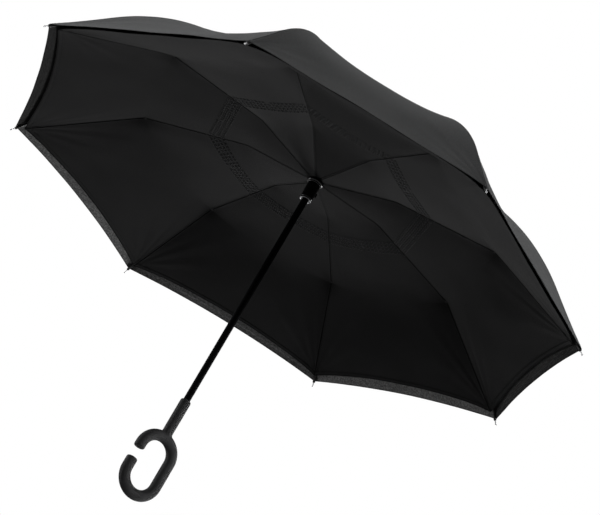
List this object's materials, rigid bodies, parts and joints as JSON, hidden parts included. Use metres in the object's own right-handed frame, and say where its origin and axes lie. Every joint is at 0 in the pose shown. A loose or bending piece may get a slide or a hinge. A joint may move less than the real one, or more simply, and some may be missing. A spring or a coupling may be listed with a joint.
{
  "type": "inverted umbrella",
  "caption": "Open reverse-folding umbrella: double-layer canopy on hinged ribs, sliding runner with a catch button, and a C-shaped hand loop.",
  "frame": {"origin": "on the shaft's axis, where the handle's straight stem meets its C loop", "axes": "+Z along the shaft towards the canopy, +X towards the open side of the C loop, rib 1 over +X"},
  "size_m": [1.0724, 1.0724, 0.7772],
  "materials": {
    "outer_fabric": "matte",
    "inner_fabric": "matte",
    "soft_touch": "satin",
    "shaft_black": "gloss",
    "black_plastic": "satin",
    "gloss_black": "gloss",
    "rod_black": "satin",
    "steel": "satin",
    "chrome": "polished"
  },
  "bodies": {
    "frame": {"c_handle": "soft_touch", "shaft": "shaft_black", "crown_notch": "black_plastic", "crown_wire": "steel", "ferrule_cap": "black_plastic", "outer_canopy_crown": "outer_fabric"},
    "runner": {"runner_core": "black_plastic", "runner_sleeve": "gloss_black", "runner_ring": "chrome", "runner_wire": "steel", "button_spring": "steel"},
    "button": {"runner_button": "gloss_black"},
    "lower_rib_1": {"lower_rib_1": "steel", "inner_canopy_1": "inner_fabric"},
    "outer_rib_1": {"outer_rib_1": "rod_black", "rib_tip_1": "chrome", "outer_canopy_1": "outer_fabric"},
    "strut_1": {"strut_1": "steel"},
    "lower_rib_2": {"lower_rib_2": "steel", "inner_canopy_2": "inner_fabric"},
    "outer_rib_2": {"outer_rib_2": "rod_black", "rib_tip_2": "chrome", "outer_canopy_2": "outer_fabric"},
    "strut_2": {"strut_2": "steel"},
    "lower_rib_3": {"lower_rib_3": "steel", "inner_canopy_3": "inner_fabric"},
    "outer_rib_3": {"outer_rib_3": "rod_black", "rib_tip_3": "chrome", "outer_canopy_3": "outer_fabric"},
    "strut_3": {"strut_3": "steel"},
    "lower_rib_4": {"lower_rib_4": "steel", "inner_canopy_4": "inner_fabric"},
    "outer_rib_4": {"outer_rib_4": "rod_black", "rib_tip_4": "chrome", "outer_canopy_4": "outer_fabric"},
    "strut_4": {"strut_4": "steel"},
    "lower_rib_5": {"lower_rib_5": "steel", "inner_canopy_5": "inner_fabric"},
    "outer_rib_5": {"outer_rib_5": "rod_black", "rib_tip_5": "chrome", "outer_canopy_5": "outer_fabric"},
    "strut_5": {"strut_5": "steel"},
    "lower_rib_6": {"lower_rib_6": "steel", "inner_canopy_6": "inner_fabric"},
    "outer_rib_6": {"outer_rib_6": "rod_black", "rib_tip_6": "chrome", "outer_canopy_6": "outer_fabric"},
    "strut_6": {"strut_6": "steel"},
    "lower_rib_7": {"lower_rib_7": "steel", "inner_canopy_7": "inner_fabric"},
    "outer_rib_7": {"outer_rib_7": "rod_black", "rib_tip_7": "chrome", "outer_canopy_7": "outer_fabric"},
    "strut_7": {"strut_7": "steel"},
    "lower_rib_8": {"lower_rib_8": "steel", "inner_canopy_8": "inner_fabric"},
    "outer_rib_8": {"outer_rib_8": "rod_black", "rib_tip_8": "chrome", "outer_canopy_8": "outer_fabric"},
    "strut_8": {"strut_8": "steel"}
  },
  "joints": [
    {"name": "runner_slide", "type": "slide", "parent": "frame", "child": "runner", "axis": [0, 0, 1], "range_m": [-0.40435, 0], "deforming": ["outer_canopy_crown"]},
    {"name": "button_press", "type": "slide", "parent": "runner", "child": "button", "axis": [1, 0, 0], "range_m": [0, 0.0012], "stiffness_N_per_m": 600, "springref_m": -0.0012, "deforming": ["button_spring"]},
    {"name": "lower_rib_1_hinge", "type": "hinge", "parent": "runner", "child": "lower_rib_1", "pos_m": [0.016, 0, 0.5238], "axis": [0, -1, 0], "range_deg": [0, 82.3], "deforming": ["inner_canopy_1"]},
    {"name": "outer_rib_1_hinge", "type": "hinge", "parent": "lower_rib_1", "child": "outer_rib_1", "pos_m": [0.333, 0, 0.5164], "axis": [0, -1, 0], "range_deg": [0, 37.8], "deforming": ["outer_canopy_1"]},
    {"name": "strut_1_hinge", "type": "hinge", "parent": "frame", "child": "strut_1", "pos_m": [0.0135, 0, 0.627], "axis": [0, -1, 0], "range_deg": [-80.2, 0]},
    {"name": "lower_rib_2_hinge", "type": "hinge", "parent": "runner", "child": "lower_rib_2", "pos_m": [0.01131, 0.01131, 0.5238], "axis": [0.7071, -0.7071, 0], "range_deg": [0, 82.3], "deforming": ["inner_canopy_2"]},
    {"name": "outer_rib_2_hinge", "type": "hinge", "parent": "lower_rib_2", "child": "outer_rib_2", "pos_m": [0.23547, 0.23547, 0.5164], "axis": [0.7071, -0.7071, 0], "range_deg": [0, 37.8], "deforming": ["outer_canopy_2"]},
    {"name": "strut_2_hinge", "type": "hinge", "parent": "frame", "child": "strut_2", "pos_m": [0.00955, 0.00955, 0.627], "axis": [0.7071, -0.7071, 0], "range_deg": [-80.2, 0]},
    {"name": "lower_rib_3_hinge", "type": "hinge", "parent": "runner", "child": "lower_rib_3", "pos_m": [0, 0.016, 0.5238], "axis": [1, 0, 0], "range_deg": [0, 82.3], "deforming": ["inner_canopy_3"]},
    {"name": "outer_rib_3_hinge", "type": "hinge", "parent": "lower_rib_3", "child": "outer_rib_3", "pos_m": [0, 0.333, 0.5164], "axis": [1, 0, 0], "range_deg": [0, 37.8], "deforming": ["outer_canopy_3"]},
    {"name": "strut_3_hinge", "type": "hinge", "parent": "frame", "child": "strut_3", "pos_m": [0, 0.0135, 0.627], "axis": [1, 0, 0], "range_deg": [-80.2, 0]},
    {"name": "lower_rib_4_hinge", "type": "hinge", "parent": "runner", "child": "lower_rib_4", "pos_m": [-0.01131, 0.01131, 0.5238], "axis": [0.7071, 0.7071, 0], "range_deg": [0, 82.3], "deforming": ["inner_canopy_4"]},
    {"name": "outer_rib_4_hinge", "type": "hinge", "parent": "lower_rib_4", "child": "outer_rib_4", "pos_m": [-0.23547, 0.23547, 0.5164], "axis": [0.7071, 0.7071, 0], "range_deg": [0, 37.8], "deforming": ["outer_canopy_4"]},
    {"name": "strut_4_hinge", "type": "hinge", "parent": "frame", "child": "strut_4", "pos_m": [-0.00955, 0.00955, 0.627], "axis": [0.7071, 0.7071, 0], "range_deg": [-80.2, 0]},
    {"name": "lower_rib_5_hinge", "type": "hinge", "parent": "runner", "child": "lower_rib_5", "pos_m": [-0.016, 0, 0.5238], "axis": [0, 1, 0], "range_deg": [0, 82.3], "deforming": ["inner_canopy_5"]},
    {"name": "outer_rib_5_hinge", "type": "hinge", "parent": "lower_rib_5", "child": "outer_rib_5", "pos_m": [-0.333, 0, 0.5164], "axis": [0, 1, 0], "range_deg": [0, 37.8], "deforming": ["outer_canopy_5"]},
    {"name": "strut_5_hinge", "type": "hinge", "parent": "frame", "child": "strut_5", "pos_m": [-0.0135, 0, 0.627], "axis": [0, 1, 0], "range_deg": [-80.2, 0]},
    {"name": "lower_rib_6_hinge", "type": "hinge", "parent": "runner", "child": "lower_rib_6", "pos_m": [-0.01131, -0.01131, 0.5238], "axis": [-0.7071, 0.7071, 0], "range_deg": [0, 82.3], "deforming": ["inner_canopy_6"]},
    {"name": "outer_rib_6_hinge", "type": "hinge", "parent": "lower_rib_6", "child": "outer_rib_6", "pos_m": [-0.23547, -0.23547, 0.5164], "axis": [-0.7071, 0.7071, 0], "range_deg": [0, 37.8], "deforming": ["outer_canopy_6"]},
    {"name": "strut_6_hinge", "type": "hinge", "parent": "frame", "child": "strut_6", "pos_m": [-0.00955, -0.00955, 0.627], "axis": [-0.7071, 0.7071, 0], "range_deg": [-80.2, 0]},
    {"name": "lower_rib_7_hinge", "type": "hinge", "parent": "runner", "child": "lower_rib_7", "pos_m": [0, -0.016, 0.5238], "axis": [-1, 0, 0], "range_deg": [0, 82.3], "deforming": ["inner_canopy_7"]},
    {"name": "outer_rib_7_hinge", "type": "hinge", "parent": "lower_rib_7", "child": "outer_rib_7", "pos_m": [0, -0.333, 0.5164], "axis": [-1, 0, 0], "range_deg": [0, 37.8], "deforming": ["outer_canopy_7"]},
    {"name": "strut_7_hinge", "type": "hinge", "parent": "frame", "child": "strut_7", "pos_m": [0, -0.0135, 0.627], "axis": [-1, 0, 0], "range_deg": [-80.2, 0]},
    {"name": "lower_rib_8_hinge", "type": "hinge", "parent": "runner", "child": "lower_rib_8", "pos_m": [0.01131, -0.01131, 0.5238], "axis": [-0.7071, -0.7071, 0], "range_deg": [0, 82.3], "deforming": ["inner_canopy_8"]},
    {"name": "outer_rib_8_hinge", "type": "hinge", "parent": "lower_rib_8", "child": "outer_rib_8", "pos_m": [0.23547, -0.23547, 0.5164], "axis": [-0.7071, -0.7071, 0], "range_deg": [0, 37.8], "deforming": ["outer_canopy_8"]},
    {"name": "strut_8_hinge", "type": "hinge", "parent": "frame", "child": "strut_8", "pos_m": [0.00955, -0.00955, 0.627], "axis": [-0.7071, -0.7071, 0], "range_deg": [-80.2, 0]}
  ],
  "couplings": [
    {"joint": "lower_rib_1_hinge", "follows": "runner_slide", "rad_per_m": -3.5509},
    {"joint": "outer_rib_1_hinge", "follows": "runner_slide", "rad_per_m": -1.63},
    {"joint": "strut_1_hinge", "follows": "runner_slide", "rad_per_m": 3.4593},
    {"joint": "lower_rib_2_hinge", "follows": "runner_slide", "rad_per_m": -3.5509},
    {"joint": "outer_rib_2_hinge", "follows": "runner_slide", "rad_per_m": -1.63},
    {"joint": "strut_2_hinge", "follows": "runner_slide", "rad_per_m": 3.4593},
    {"joint": "lower_rib_3_hinge", "follows": "runner_slide", "rad_per_m": -3.5509},
    {"joint": "outer_rib_3_hinge", "follows": "runner_slide", "rad_per_m": -1.63},
    {"joint": "strut_3_hinge", "follows": "runner_slide", "rad_per_m": 3.4593},
    {"joint": "lower_rib_4_hinge", "follows": "runner_slide", "rad_per_m": -3.5509},
    {"joint": "outer_rib_4_hinge", "follows": "runner_slide", "rad_per_m": -1.63},
    {"joint": "strut_4_hinge", "follows": "runner_slide", "rad_per_m": 3.4593},
    {"joint": "lower_rib_5_hinge", "follows": "runner_slide", "rad_per_m": -3.5509},
    {"joint": "outer_rib_5_hinge", "follows": "runner_slide", "rad_per_m": -1.63},
    {"joint": "strut_5_hinge", "follows": "runner_slide", "rad_per_m": 3.4593},
    {"joint": "lower_rib_6_hinge", "follows": "runner_slide", "rad_per_m": -3.5509},
    {"joint": "outer_rib_6_hinge", "follows": "runner_slide", "rad_per_m": -1.63},
    {"joint": "strut_6_hinge", "follows": "runner_slide", "rad_per_m": 3.4593},
    {"joint": "lower_rib_7_hinge", "follows": "runner_slide", "rad_per_m": -3.5509},
    {"joint": "outer_rib_7_hinge", "follows": "runner_slide", "rad_per_m": -1.63},
    {"joint": "strut_7_hinge", "follows": "runner_slide", "rad_per_m": 3.4593},
    {"joint": "lower_rib_8_hinge", "follows": "runner_slide", "rad_per_m": -3.5509},
    {"joint": "outer_rib_8_hinge", "follows": "runner_slide", "rad_per_m": -1.63},
    {"joint": "strut_8_hinge", "follows": "runner_slide", "rad_per_m": 3.4593}
  ]
}
